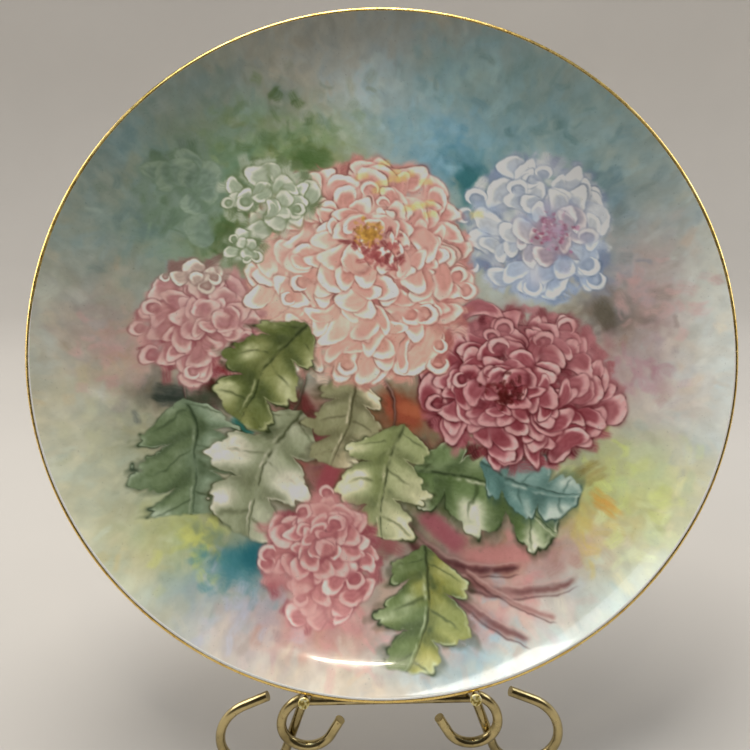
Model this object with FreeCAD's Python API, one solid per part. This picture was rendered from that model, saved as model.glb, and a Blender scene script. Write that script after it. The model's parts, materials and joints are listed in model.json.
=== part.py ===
"""Porcelain display plate on a brass rod easel, in millimetres.

The object stands on Z = 0 and faces -Y, with X to the viewer's right. The plate leans back by LEAN. Leaning
parts are drawn in the easel's own axes and then placed: x across, s up the lean, n out of the plate's face.
The point x = s = n = 0 is the middle of the ledge: it lies in the plate's rim plane, level with the pegs'
axes.
"""

import FreeCAD, Part
import math
import os

Vector = FreeCAD.Vector

# Stance
LEAN = 27.0                 # degrees that the plate leans back from upright
LEDGE_HEIGHT = 44.2         # from the table to the middle of the ledge
LEDGE_Y = -72.285           # puts the origin midway between the foremost and rearmost points

# Plate
PLATE_RADIUS = 153.5
LIP_RADIUS = 1.5            # rounding of the rim's edge
RIM_SLOPE = 38.0            # degrees that the wall has turned up by at the rim
FLOOR_SLOPE = 2.2           # degrees that the floor has risen by where the wall begins
WALL_CURVE = 80.0           # radius of the wall's upward sweep, seen in section
SKIN = 0.3                  # depth given to the painted glaze and to the gilding
FLOOR_THICKNESS = 4.5
FOOT_OUTER_RADIUS = 97.0
FOOT_WIDTH = 5.0
FOOT_DROP = 2.8             # from the underside of the floor to the foot's rest
FOOT_CHAMFER = 0.8
GILT_FRONT = -120.0         # the gilding's two edges, as angles round the lip's section
GILT_BACK = 25.0

# Easel rods
HOOP_ROD = 2.25             # radius of the rod that forms the pegs, uprights and arch
SCROLL_ROD = 2.0            # radius of every other rod
PEG_X = 33.5
PEG_REACH = 1.5             # how far the pegs stand out in front of the rim plane
PEG_CHAMFER = 0.6
PEG_BEND = 10.0             # radius of the bend from peg to upright
REST_GAP = 0.12             # left between the rim and the pegs, and between the foot and the uprights
ARCH_START = 228.0          # where the uprights end and the arch begins, up the lean

# Ledge bar and scrolls
LEDGE_BAR_N = -12.6
LEDGE_BAR_HALF = 37.5
LEDGE_BAR_LET_IN = 1.3      # how far the pegs are let into the top of the bar
LEG_X = 35.0
LEG_SPLAY = 18.6            # degrees from upright
LEG_FOOT_RADIUS = 14.0
LEG_SIDE_RADIUS = 20.0
LEG_SIDE_TURN = 65.0
LEG_TAIL = 10.5
INNER_START = (34.9, -3.5)
INNER_HEADING = -22.0
INNER_TOP_RADIUS = 14.5
INNER_RADIUS = 10.6
INNER_TURN = 152.0
INNER_TAIL = 8.5

# Prop
HINGE_S = 150.0
HINGE_TUBE_BORE = 2.06
HINGE_TUBE_RADIUS = 3.3
HINGE_TUBE_SIDE_GAP = 0.3
STOP_BAR_RISE = 9.0
STOP_TAB_WIDTH = 10.0
STOP_TAB_THICKNESS = 1.6
STOP_TAB_GAP = 0.05
STOP_TAB_OVERSHOOT = 3.0    # how far the tab passes the stop bar's axis
PROP_FOOT_Y = 112.0         # of the prop's foot behind the middle of the ledge
PROP_FOOT_RADIUS = 4.5
PROP_FOOT_HEIGHT = 2.5
PROP_FOOT_ROUNDING = 0.5

CUTTER_SIZE = 20.0          # side of a cutting block, larger than anything it trims
SAME_HEIGHT = 1e-6          # tolerance when an edge is picked by its height

PLATE_CENTRE_S = math.sqrt((PLATE_RADIUS + HOOP_ROD + REST_GAP) ** 2 - PEG_X ** 2)


def sin(degrees):
    return math.sin(math.radians(degrees))


def cos(degrees):
    return math.cos(math.radians(degrees))


LEAN_PLACEMENT = FreeCAD.Placement(
    Vector(0, LEDGE_Y, LEDGE_HEIGHT), FreeCAD.Rotation(Vector(1, 0, 0), 90.0 - LEAN)
)


def lean(shape):
    """Carry a shape from the easel's own axes to the object's frame."""
    placed = shape.copy()
    placed.Placement = LEAN_PLACEMENT.multiply(placed.Placement)
    return placed


def lean_point(x, s, n):
    return LEAN_PLACEMENT.multVec(Vector(x, s, n))


# ---------------------------------------------------------------- rods


def bent_path(start, heading, moves, to_space):
    """A planar path of straight runs and tangent arcs.

    A move is ("run", length) or ("turn", radius, degrees), with degrees positive to the left. to_space
    carries a point of the plane to the object.
    """
    x, y = start
    edges = []
    for move in moves:
        if move[0] == "run":
            end = (x + move[1] * cos(heading), y + move[1] * sin(heading))
            edges.append(Part.LineSegment(to_space(x, y), to_space(*end)).toShape())
        else:
            radius, turn = move[1], move[2]
            side = 1.0 if turn > 0 else -1.0
            centre = (x - side * radius * sin(heading), y + side * radius * cos(heading))

            def on_arc(part_of_turn):
                angle = heading + part_of_turn * turn
                return (centre[0] + side * radius * sin(angle), centre[1] - side * radius * cos(angle))

            middle, end = on_arc(0.5), on_arc(1.0)
            edges.append(Part.Arc(to_space(x, y), to_space(*middle), to_space(*end)).toShape())
            heading += turn
        x, y = end
    return Part.Wire(edges)


def rod(path, radius):
    """A round rod along a path."""
    first = path.OrderedEdges[0]
    start = first.valueAt(first.FirstParameter)
    direction = first.tangentAt(first.FirstParameter)
    if first.Orientation == "Reversed":
        start = first.valueAt(first.LastParameter)
        direction = first.tangentAt(first.LastParameter) * -1
    section = Part.Wire([Part.makeCircle(radius, start, direction)])
    return Part.Solid(path.makePipeShell([section], True, False))


def straight_rod(start, end, radius):
    length = (end - start).Length
    return Part.makeCylinder(radius, length, start, end - start)


# ---------------------------------------------------------------- plate

# The plate's section is drawn with r out from its axis and n towards its face; the rim plane is n = 0.
LIP_CENTRE = (PLATE_RADIUS - LIP_RADIUS, -LIP_RADIUS)
WALL_CENTRE = (
    LIP_CENTRE[0] - (WALL_CURVE + LIP_RADIUS) * sin(RIM_SLOPE),
    LIP_CENTRE[1] + (WALL_CURVE + LIP_RADIUS) * cos(RIM_SLOPE),
)
FLOOR_CURVE = WALL_CURVE + WALL_CENTRE[0] / sin(FLOOR_SLOPE)
FLOOR_CENTRE_N = WALL_CENTRE[1] + (FLOOR_CURVE - WALL_CURVE) * cos(FLOOR_SLOPE)
FLOOR_N = FLOOR_CENTRE_N - FLOOR_CURVE
WALL_THICKNESS = 2 * LIP_RADIUS
FOOT_N = FLOOR_N - FLOOR_THICKNESS - FOOT_DROP
UPRIGHT_N = FOOT_N - REST_GAP - HOOP_ROD


def floor_point(depth, slope):
    """A point of the floor's sweep, depth below the face, where the floor has risen to slope degrees."""
    radius = FLOOR_CURVE + depth
    return Vector(radius * sin(slope), 0, FLOOR_CENTRE_N - radius * cos(slope))


def wall_point(depth, slope):
    radius = WALL_CURVE + depth
    return Vector(WALL_CENTRE[0] + radius * sin(slope), 0, WALL_CENTRE[1] - radius * cos(slope))


def lip_point(depth, angle):
    """A point of the lip's section; angle -90 faces the front and 0 faces outward."""
    radius = LIP_RADIUS - depth
    return Vector(LIP_CENTRE[0] + radius * cos(angle), 0, LIP_CENTRE[1] - radius * sin(angle))


def arc(point, depth, first, last):
    """The arc that point() draws at one depth between two angles."""
    middle = 0.5 * (first + last)
    return Part.Arc(point(depth, first), point(depth, middle), point(depth, last)).toShape()


def line(first, last):
    return Part.LineSegment(first, last).toShape()


def revolved(edges):
    """Turn a closed section about the plate's axis, and lean it in place."""
    face = Part.Face(Part.Wire(Part.__sortEdges__(edges)))
    solid = face.revolve(Vector(0, 0, 0), Vector(0, 0, 1), 360)
    solid.Placement = FreeCAD.Placement(Vector(0, PLATE_CENTRE_S, 0), FreeCAD.Rotation())
    return lean(solid)


LIP_INNER = -90.0 - RIM_SLOPE       # where the face's sweep runs into the lip
LIP_OUTER = 90.0 - RIM_SLOPE        # where the lip runs into the back


def face_curve(depth):
    """The face's curve at one depth, from the plate's axis to the gilding."""
    return [
        arc(floor_point, depth, 0, FLOOR_SLOPE),
        arc(wall_point, depth, FLOOR_SLOPE, RIM_SLOPE),
        arc(lip_point, depth, LIP_INNER, GILT_FRONT),
    ]


def painted_glaze():
    edges = face_curve(0) + face_curve(SKIN)
    edges.append(line(lip_point(0, GILT_FRONT), lip_point(SKIN, GILT_FRONT)))
    edges.append(line(floor_point(0, 0), floor_point(SKIN, 0)))
    return revolved(edges)


def gold_rim():
    return revolved(
        [
            arc(lip_point, 0, GILT_FRONT, GILT_BACK),
            arc(lip_point, SKIN, GILT_FRONT, GILT_BACK),
            line(lip_point(0, GILT_FRONT), lip_point(SKIN, GILT_FRONT)),
            line(lip_point(0, GILT_BACK), lip_point(SKIN, GILT_BACK)),
        ]
    )


def foot_outline():
    """The foot's section, from the back of the floor outside the foot to the plate's axis."""
    outer, inner = FOOT_OUTER_RADIUS, FOOT_OUTER_RADIUS - FOOT_WIDTH
    underside = FLOOR_N - FLOOR_THICKNESS
    slope = math.degrees(math.asin(outer / (FLOOR_CURVE + WALL_THICKNESS)))
    corners = [
        floor_point(WALL_THICKNESS, slope),
        Vector(outer, 0, FOOT_N + FOOT_CHAMFER),
        Vector(outer - FOOT_CHAMFER, 0, FOOT_N),
        Vector(inner + FOOT_CHAMFER, 0, FOOT_N),
        Vector(inner, 0, FOOT_N + FOOT_CHAMFER),
        Vector(inner, 0, underside),
        Vector(0, 0, underside),
    ]
    return slope, [line(a, b) for a, b in zip(corners, corners[1:])]


def plate_body():
    slope, foot = foot_outline()
    edges = face_curve(SKIN) + [
        arc(lip_point, SKIN, GILT_FRONT, GILT_BACK),
        line(lip_point(SKIN, GILT_BACK), lip_point(0, GILT_BACK)),
        arc(lip_point, 0, GILT_BACK, LIP_OUTER),
        arc(wall_point, WALL_THICKNESS, FLOOR_SLOPE, RIM_SLOPE),
        arc(floor_point, WALL_THICKNESS, slope, FLOOR_SLOPE),
    ]
    edges += foot
    edges.append(line(Vector(0, 0, FLOOR_N - FLOOR_THICKNESS), floor_point(SKIN, 0)))
    return revolved(edges)


# ---------------------------------------------------------------- easel frame


def peg(side):
    """One peg, straight, with its cut end's corner taken off."""
    length = PEG_REACH - UPRIGHT_N - PEG_BEND
    start = Vector(side * PEG_X, 0, PEG_REACH)
    body = Part.makeCylinder(HOOP_ROD, length, start, Vector(0, 0, -1))
    tip = [edge for edge in body.Edges if edge.Closed and abs(edge.BoundBox.ZMin - PEG_REACH) < SAME_HEIGHT]
    return body.makeFillet(PEG_CHAMFER, tip)


def upright(side):
    """The bend behind one peg and the upright above it, in the plane x = side * PEG_X."""

    def to_space(n, s):
        return Vector(side * PEG_X, s, n)

    path = bent_path(
        (UPRIGHT_N + PEG_BEND, 0),
        180,
        [("turn", PEG_BEND, -90), ("run", ARCH_START - PEG_BEND)],
        to_space,
    )
    return rod(path, HOOP_ROD)


def arch():
    path = bent_path(
        (PEG_X, ARCH_START), 90, [("turn", PEG_X, 180)], lambda x, s: Vector(x, s, UPRIGHT_N)
    )
    return rod(path, HOOP_ROD)


def frame_hoop():
    """Pegs, uprights and arch: one bent rod."""
    pieces = [arch()]
    for side in (-1, 1):
        pieces += [peg(side), upright(side)]
    hoop = pieces[0].fuse(pieces[1:]).removeSplitter()
    return lean(hoop.Solids[0])


def ledge_bar_centre():
    """The ledge bar's axis lies under the pegs."""
    return lean_point(0, LEDGE_BAR_LET_IN - (HOOP_ROD + SCROLL_ROD), LEDGE_BAR_N)


def ledge_bar():
    """The ledge bar before it is notched for the pegs."""
    centre = ledge_bar_centre()
    half = Vector(LEDGE_BAR_HALF, 0, 0)
    return straight_rod(centre - half, centre + half, SCROLL_ROD)


def leg_scroll(side, bar):
    """A front leg, its foot and its outer scroll: one rod, in the upright plane of the ledge bar."""
    centre = ledge_bar_centre()
    drop = centre.z - SCROLL_ROD - LEG_FOOT_RADIUS * (1 - sin(LEG_SPLAY))

    def to_space(x, z):
        return Vector(side * x, centre.y, z)

    path = bent_path(
        (LEG_X, centre.z),
        LEG_SPLAY - 90,
        [
            ("run", drop / cos(LEG_SPLAY)),
            ("turn", LEG_FOOT_RADIUS, 180 - LEG_SPLAY),
            ("turn", LEG_SIDE_RADIUS, LEG_SIDE_TURN),
            ("run", LEG_TAIL),
        ],
        to_space,
    )
    return rod(path, SCROLL_ROD).cut(bar).Solids[0]


def inner_scroll(side, hoop):
    """The small scroll between a peg and the leg, in front of the leg and touching it."""
    plane_y = ledge_bar_centre().y - 2 * SCROLL_ROD

    def to_space(x, z):
        return Vector(side * x, plane_y, LEDGE_HEIGHT + z)

    path = bent_path(
        INNER_START,
        INNER_HEADING,
        [
            ("turn", INNER_TOP_RADIUS, -90 - INNER_HEADING),
            ("turn", INNER_RADIUS, -INNER_TURN),
            ("run", INNER_TAIL),
        ],
        to_space,
    )
    solids = rod(path, SCROLL_ROD).cut(hoop).Solids
    return max(solids, key=lambda solid: solid.Volume)


# ---------------------------------------------------------------- prop


def across(s, half, radius):
    """A rod across the frame, in the plane of the uprights, reaching half to each side."""
    return straight_rod(lean_point(-half, s, UPRIGHT_N), lean_point(half, s, UPRIGHT_N), radius)


def cross_bar(s, hoop):
    """A straight bar between the uprights, fitted to them at both ends."""
    return across(s, PEG_X, SCROLL_ROD).cut(hoop).Solids[0]


def hinge_tube():
    half = PEG_X - HOOP_ROD - HINGE_TUBE_SIDE_GAP
    return across(HINGE_S, half, HINGE_TUBE_RADIUS).cut(across(HINGE_S, half, HINGE_TUBE_BORE)).Solids[0]


def prop_leg():
    """The rod behind the frame, fitted to the hinge tube and sunk halfway into its foot."""
    top = lean_point(0, HINGE_S, UPRIGHT_N)
    foot = Vector(0, LEDGE_Y + PROP_FOOT_Y, PROP_FOOT_HEIGHT)
    leg = straight_rod(top, foot + (foot - top).normalize() * PROP_FOOT_HEIGHT, HOOP_ROD)
    half = CUTTER_SIZE / 2
    corner = Vector(-half, foot.y - half, PROP_FOOT_HEIGHT / 2 - CUTTER_SIZE)
    below = Part.makeBox(CUTTER_SIZE, CUTTER_SIZE, CUTTER_SIZE, corner)
    return leg.cut([across(HINGE_S, PEG_X, HINGE_TUBE_RADIUS), below]).Solids[0]


def prop_foot(leg):
    """A small turned button under the prop, flat where it stands on the table."""
    centre = Vector(0, LEDGE_Y + PROP_FOOT_Y, 0)
    button = Part.makeCylinder(PROP_FOOT_RADIUS, PROP_FOOT_HEIGHT, centre)
    rims = [edge for edge in button.Edges if edge.Closed]
    return button.makeFillet(PROP_FOOT_ROUNDING, rims).cut(leg).Solids[0]


def stop_tab():
    """A strip brazed to the back of the hinge tube; it meets the stop bar when the prop is open."""
    front = UPRIGHT_N - SCROLL_ROD - STOP_TAB_GAP
    height = STOP_BAR_RISE + STOP_TAB_OVERSHOOT
    corner = Vector(-STOP_TAB_WIDTH / 2, HINGE_S, front - STOP_TAB_THICKNESS)
    tab = Part.makeBox(STOP_TAB_WIDTH, height, STOP_TAB_THICKNESS, corner)
    return lean(tab).cut(across(HINGE_S, PEG_X, HINGE_TUBE_RADIUS)).Solids[0]


# ---------------------------------------------------------------- assembly


def build():
    hoop = frame_hoop()
    bar = ledge_bar()
    leg = prop_leg()
    parts = {
        "plate_body": plate_body(),
        "painted_glaze": painted_glaze(),
        "gold_rim": gold_rim(),
        "frame_hoop": hoop,
        "ledge_bar": bar.cut(hoop).Solids[0],
        "hinge_bar": cross_bar(HINGE_S, hoop),
        "stop_bar": cross_bar(HINGE_S + STOP_BAR_RISE, hoop),
        "hinge_tube": hinge_tube(),
        "prop_leg": leg,
        "prop_foot": prop_foot(leg),
        "stop_tab": stop_tab(),
    }
    for name, side in (("left", -1), ("right", 1)):
        parts[name + "_leg_scroll"] = leg_scroll(side, bar)
        parts[name + "_inner_scroll"] = inner_scroll(side, hoop)
    return parts


os.makedirs("parts", exist_ok=True)
for node, shape in build().items():
    if not shape.isValid() or shape.ShapeType != "Solid":
        raise RuntimeError("%s is not one valid solid (%s)" % (node, shape.ShapeType))
    shape.exportStep("parts/%s.step" % node)
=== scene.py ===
"""Looks of the painted display plate on its brass easel, in metres.

The painting is laid on a flat canvas by soft brushes in code and carried to the plate's face as a colour
on each point. The plate is turned about its own axis from its section; the brass rods are the frame's own
nodes.
"""

import json
import math

import bmesh
import bpy
import numpy as np
from mathutils import Matrix, Vector


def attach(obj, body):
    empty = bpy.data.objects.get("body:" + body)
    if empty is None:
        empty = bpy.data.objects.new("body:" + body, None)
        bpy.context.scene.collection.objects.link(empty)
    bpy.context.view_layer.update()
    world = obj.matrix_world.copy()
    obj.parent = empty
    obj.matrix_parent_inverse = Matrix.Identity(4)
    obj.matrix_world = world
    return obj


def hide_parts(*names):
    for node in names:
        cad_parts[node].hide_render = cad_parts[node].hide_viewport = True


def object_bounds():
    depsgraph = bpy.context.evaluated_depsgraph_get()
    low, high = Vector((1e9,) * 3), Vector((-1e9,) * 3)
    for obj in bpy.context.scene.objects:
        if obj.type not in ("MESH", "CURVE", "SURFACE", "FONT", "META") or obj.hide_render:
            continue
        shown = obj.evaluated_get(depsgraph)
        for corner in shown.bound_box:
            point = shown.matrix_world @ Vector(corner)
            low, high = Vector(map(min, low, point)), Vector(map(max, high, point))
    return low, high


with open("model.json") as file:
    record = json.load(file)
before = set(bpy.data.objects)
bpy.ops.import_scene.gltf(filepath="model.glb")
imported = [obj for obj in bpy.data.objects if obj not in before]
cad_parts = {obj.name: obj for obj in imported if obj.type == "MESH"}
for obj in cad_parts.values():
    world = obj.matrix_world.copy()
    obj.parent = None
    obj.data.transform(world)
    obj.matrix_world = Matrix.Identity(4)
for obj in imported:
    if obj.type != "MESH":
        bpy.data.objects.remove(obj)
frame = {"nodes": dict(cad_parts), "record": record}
cad_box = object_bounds()
MM = 0.001

# -------- plate: section and axes

# The section is drawn with r out from the plate's axis and n towards its face, in millimetres; the rim
# plane is n = 0. Angles run round an arc's centre from straight back towards the rim.
PLATE_RADIUS = 153.5
LIP_RADIUS = 1.5
RIM_SLOPE = 38.0
FLOOR_SLOPE = 2.2
WALL_CURVE = 80.0
WALL_THICKNESS = 2 * LIP_RADIUS
SKIN = 0.3
FLOOR_THICKNESS = 4.5
FOOT_OUTER_RADIUS = 97.0
FOOT_WIDTH = 5.0
FOOT_DROP = 2.8
FOOT_CHAMFER = 0.8
GILT_FRONT = 210.0
GILT_BACK = 65.0


def sin(degrees):
    return math.sin(math.radians(degrees))


def cos(degrees):
    return math.cos(math.radians(degrees))


LIP_CENTRE = (PLATE_RADIUS - LIP_RADIUS, -LIP_RADIUS)
WALL_CENTRE = (
    LIP_CENTRE[0] - (WALL_CURVE + LIP_RADIUS) * sin(RIM_SLOPE),
    LIP_CENTRE[1] + (WALL_CURVE + LIP_RADIUS) * cos(RIM_SLOPE),
)
FLOOR_CURVE = WALL_CURVE + WALL_CENTRE[0] / sin(FLOOR_SLOPE)
FLOOR_CENTRE = (0.0, WALL_CENTRE[1] + (FLOOR_CURVE - WALL_CURVE) * cos(FLOOR_SLOPE))
UNDERSIDE = FLOOR_CENTRE[1] - FLOOR_CURVE - FLOOR_THICKNESS
FOOT_N = UNDERSIDE - FOOT_DROP


def sweep(centre, radius, first, last, steps):
    """Points of an arc of the section, from one angle to another."""
    angles = np.radians(np.linspace(first, last, steps + 1))
    return np.stack((centre[0] + radius * np.sin(angles), centre[1] - radius * np.cos(angles)), axis=1)


def joined(*pieces):
    """Stretches of the section end to end, each shared end kept once."""
    kept = [pieces[0]] + [piece[1:] for piece in pieces[1:]]
    return np.concatenate([np.atleast_2d(piece) for piece in kept])


def face_section(depth, floor_steps, wall_steps, lip_steps):
    """The face from the plate's axis to the gilding, at one depth below the glaze."""
    return joined(
        sweep(FLOOR_CENTRE, FLOOR_CURVE + depth, 0.0, FLOOR_SLOPE, floor_steps),
        sweep(WALL_CENTRE, WALL_CURVE + depth, FLOOR_SLOPE, RIM_SLOPE, wall_steps),
        sweep(LIP_CENTRE, LIP_RADIUS - depth, 180.0 + RIM_SLOPE, GILT_FRONT, lip_steps),
    )


def plate_axes():
    """From the plate's own axes, x across, y up the lean and z out of its face, to the frame."""
    foot = next(mount for mount in frame["record"]["mounts"] if mount["name"] == "plate_foot_ring")
    out = -Vector(foot["axis"]).normalized()
    across = Vector((1.0, 0.0, 0.0))
    up = out.cross(across)
    middle = Vector(foot["pos_m"]) - out * FOOT_N * MM
    columns = (across, up, out, middle)
    return Matrix([[column[row] for column in columns] for row in range(3)] + [[0.0, 0.0, 0.0, 1.0]])


# -------- meshes


def quad_mesh(name, points, quads):
    """A smooth-shaded object from arrays of points, in metres, and of four-cornered faces."""
    mesh = bpy.data.meshes.new(name)
    mesh.vertices.add(len(points))
    mesh.vertices.foreach_set("co", points.astype(np.float32).ravel())
    mesh.loops.add(quads.size)
    mesh.loops.foreach_set("vertex_index", quads.astype(np.int32).ravel())
    mesh.polygons.add(len(quads))
    mesh.polygons.foreach_set("loop_start", np.arange(0, quads.size, 4, dtype=np.int32))
    mesh.update(calc_edges=True)
    mesh.shade_smooth()
    piece = bpy.data.objects.new(name, mesh)
    bpy.context.scene.collection.objects.link(piece)
    return piece


def grid_quads(rows, columns, wrapped):
    """Faces of a grid of points; a wrapped grid's last row meets its first."""
    row = np.arange(rows if wrapped else rows - 1)[:, None]
    column = np.arange(columns - 1)[None, :]
    after = (row + 1) % rows
    corners = (row * columns + column, after * columns + column,
               after * columns + column + 1, row * columns + column + 1)
    return np.stack(corners, axis=-1).reshape(-1, 4)


def lathe(name, section, turns):
    """A closed section, given face first, turned about the plate's axis, its points there merged."""
    angle = np.linspace(0.0, 2.0 * math.pi, turns, endpoint=False)[:, None]
    r, n = section[:, 0][None, :], section[:, 1][None, :]
    points = np.stack((r * np.cos(angle), r * np.sin(angle), n + 0.0 * angle), axis=-1)
    piece = quad_mesh(name, points.reshape(-1, 3) * MM, grid_quads(turns, len(section), True))
    shape = bmesh.new()
    shape.from_mesh(piece.data)
    bmesh.ops.remove_doubles(shape, verts=shape.verts, dist=1e-7)
    bmesh.ops.recalc_face_normals(shape, faces=shape.faces)
    shape.to_mesh(piece.data)
    shape.free()
    piece.data.shade_smooth()
    return piece


def settle(piece, body, node, slot, materials):
    """Give a finished piece its materials and its place in the frame, and hide the node it stands in for."""
    for material in materials:
        piece.data.materials.append(material)
    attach(piece, body)
    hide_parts(node)


# -------- painting: canvas and brushes

PITCH = 0.25                # millimetres between the canvas's points
CANVAS_HALF = 153.0         # millimetres from its middle to its side


def tone(code):
    """A colour written as six hexadecimal digits, as three numbers from 0 to 1."""
    return np.array([int(code[k : k + 2], 16) for k in (0, 2, 4)]) / 255.0


def smooth(x):
    """0 below 0, 1 above 1, and an even slope between."""
    x = np.clip(x, 0.0, 1.0)
    return x * x * (3.0 - 2.0 * x)


def bell(x, middle, reach):
    return np.exp(-(((x - middle) / reach) ** 2))


def cloud(rng, count, cells):
    """Smooth noise about 0, count points square, with that many cells along each side."""
    place = np.linspace(0.0, cells - 1e-6, count)
    low = place.astype(int)
    share = smooth(place - low)
    weights = np.zeros((count, cells + 1))
    weights[np.arange(count), low] = 1.0 - share
    weights[np.arange(count), low + 1] = share
    return weights @ rng.uniform(-1.0, 1.0, (cells + 1, cells + 1)) @ weights.T


class Canvas:
    """The painted face, flat: u to the right and v up the plate, in millimetres from its middle."""

    def __init__(self, seed):
        self.rng = np.random.default_rng(seed)
        self.count = int(2 * CANVAS_HALF / PITCH) + 1
        self.places = np.linspace(-CANVAS_HALF, CANVAS_HALF, self.count)
        self.u, self.v = np.meshgrid(self.places, self.places)
        self.colour = np.zeros((self.count, self.count, 3))
        self.shake_u = 0.55 * self.noise(70) + 0.25 * self.noise(190)
        self.shake_v = 0.55 * self.noise(70) + 0.25 * self.noise(190)
        self.grain = 0.6 * self.noise(45) + 0.4 * self.noise(150)
        self.cloudy = self.noise(22)

    def noise(self, cells):
        return cloud(self.rng, self.count, cells)

    def window(self, u, v, reach):
        """The square of canvas round a point: its place, and u and v there as an unsteady hand has them."""
        first_u, last_u = np.searchsorted(self.places, (u - reach, u + reach))
        first_v, last_v = np.searchsorted(self.places, (v - reach, v + reach))
        area = (slice(first_v, last_v), slice(first_u, last_u))
        return area, self.u[area] + self.shake_u[area], self.v[area] + self.shake_v[area]

    def paint(self, area, colour, amount):
        """Lay a colour over part of the canvas, by an amount from 0 to 1 at each point."""
        patch = self.colour[area]
        patch += (colour - patch) * amount[..., None]


def stroke_axes(u, v, start, end, bow):
    """Distance along a bowed stroke, as a share of its length, and distance across it."""
    run = np.subtract(end, start)
    length = math.hypot(*run)
    ahead = run / length
    along = ((u - start[0]) * ahead[0] + (v - start[1]) * ahead[1]) / length
    across = (v - start[1]) * ahead[0] - (u - start[0]) * ahead[1]
    return along, across - 4.0 * bow * length * along * (1.0 - along), length


def wash(canvas, u, v, reach_u, reach_v, code, strength=0.9):
    """A soft round patch of thin colour."""
    area, x, y = canvas.window(u, v, 2.2 * max(reach_u, reach_v))
    distance = ((x - u) / reach_u) ** 2 + ((y - v) / reach_v) ** 2
    uneven = 1.0 + 0.35 * canvas.grain[area]
    canvas.paint(area, tone(code), np.clip(strength * np.exp(-distance) * uneven, 0.0, 1.0))


def dab(canvas, start, end, width, colour, strength, bow=0.0):
    """One soft stroke of a flat brush, with faint bristle lines along it."""
    middle = np.add(start, end) / 2.0
    reach = math.dist(start, end) * 0.7 + 1.5 * width
    area, u, v = canvas.window(*middle, reach)
    along, across, _ = stroke_axes(u, v, start, end, bow)
    ends = smooth(along / 0.25) * smooth((1.0 - along) / 0.25)
    body = np.exp(-((across / width) ** 4))
    bristles = 0.78 + 0.22 * np.cos(5.0 * across + 9.0 * canvas.grain[area])
    canvas.paint(area, colour, strength * ends * body * bristles)


def line_stroke(canvas, start, end, width, code, strength=0.8, bow=0.0, taper=1.0):
    """A thin drawn line, thinning towards its end by taper."""
    middle = np.add(start, end) / 2.0
    reach = math.dist(start, end) * (0.55 + abs(bow)) + 3.0 * width
    area, u, v = canvas.window(*middle, reach)
    along, across, _ = stroke_axes(u, v, start, end, bow)
    half = width * (1.0 - taper * 0.75 * np.clip(along, 0.0, 1.0))
    ends = smooth(along / 0.06 + 0.5) * smooth((1.0 - along) / 0.06 + 0.5)
    amount = strength * ends * np.exp(-((across / half) ** 2))
    canvas.paint(area, tone(code), amount * np.clip(1.0 + 0.5 * canvas.grain[area], 0.0, 1.0))


# -------- painting: ground

GROUND = "b3b5a6"
WASHES = (
    # u, v, reach across and up, colour
    (0, 0, 150, 150, "a5a698"),
    (0, 140, 110, 24, "a4a9a5"),
    (-30, 132, 30, 18, "adb0a9"),
    (0, 119, 24, 13, "cad5d2"),
    (34, 124, 24, 14, "88a9ac"),
    (62, 120, 26, 18, "9dbaba"),
    (75, 100, 40, 28, "7b9799"),
    (104, 82, 30, 30, "829d9e"),
    (132, 62, 28, 36, "8c9c99"),
    (104, 62, 18, 16, "6c8489"),
    (8, 100, 24, 15, "89a3a6"),
    (34, 96, 22, 13, "6f97a6"),
    (28, 80, 18, 11, "6b97aa"),
    (56, 92, 18, 10, "6d93a0"),
    (-122, 62, 40, 50, "86958f"),
    (-100, 88, 30, 20, "7c9290"),
    (-80, 112, 28, 20, "92a19a"),
    (-54, 102, 24, 15, "8c9e88"),
    (-30, 96, 20, 12, "74875a"),
    (-68, 86, 26, 18, "708a68"),
    (-84, 66, 22, 20, "637b60"),
    (-96, 44, 26, 22, "6d806a"),
    (-72, 52, 18, 18, "4f683a"),
    (-40, 84, 22, 9, "566f38"),
    (-62, 44, 14, 14, "4a5c2e"),
    (-116, 24, 24, 24, "868f83"),
    (-128, -6, 17, 27, "a0837d"),
    (-113, -20, 15, 18, "a2807b"),
    (-138, -34, 22, 34, "a3a08e"),
    (-130, -62, 32, 36, "b4b198"),
    (-112, -92, 40, 28, "b0b197"),
    (-108, -52, 20, 26, "94967c"),
    (-88, -84, 18, 17, "a6a96c"),
    (-76, -92, 12, 10, "9fa65e"),
    (-62, -100, 20, 15, "4b7478"),
    (-72, -114, 20, 12, "7f9296"),
    (-52, -122, 20, 11, "8e8e98"),
    (-66, -128, 18, 9, "a6a4a4"),
    (-24, -128, 30, 14, "b7857f"),
    (-10, -147, 62, 9, "c6b9a8"),
    (28, -139, 26, 12, "94a9ae"),
    (54, -134, 22, 11, "a0b3b2"),
    (84, -117, 30, 17, "a9b8b0"),
    (58, -121, 20, 9, "c0aca2"),
    (104, -96, 26, 18, "b3b99a"),
    (94, -76, 24, 16, "a5aa6c"),
    (108, -62, 20, 17, "b4bd86"),
    (88, -88, 18, 10, "b3a878"),
    (122, 12, 22, 34, "ad9592"),
    (110, -20, 18, 20, "a38d8e"),
    (130, -34, 20, 20, "b0a9a4"),
    (102, 24, 12, 18, "868a90"),
    (104, 6, 15, 12, "6a625a"),
    (148, -8, 13, 60, "bfc3bd"),
    (46, 62, 10, 20, "3f6f74"),
    (42, 78, 9, 8, "35666c"),
    (36, -104, 40, 14, "ab7a77"),
    (64, -96, 20, 9, "b08079"),
    (34, -126, 16, 8, "b0807c"),
    (-4, -62, 64, 38, "6d664a"),
    (-40, -44, 16, 14, "7d3f3f"),
    (-28, -62, 12, 22, "85494a"),
    (8, -40, 17, 13, "7b3a22"),
    (-76, -22, 13, 9, "561f1f"),
    (-86, -27, 22, 6, "2b332e"),
    (28, -72, 26, 9, "3b4a2a"),
)
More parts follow.
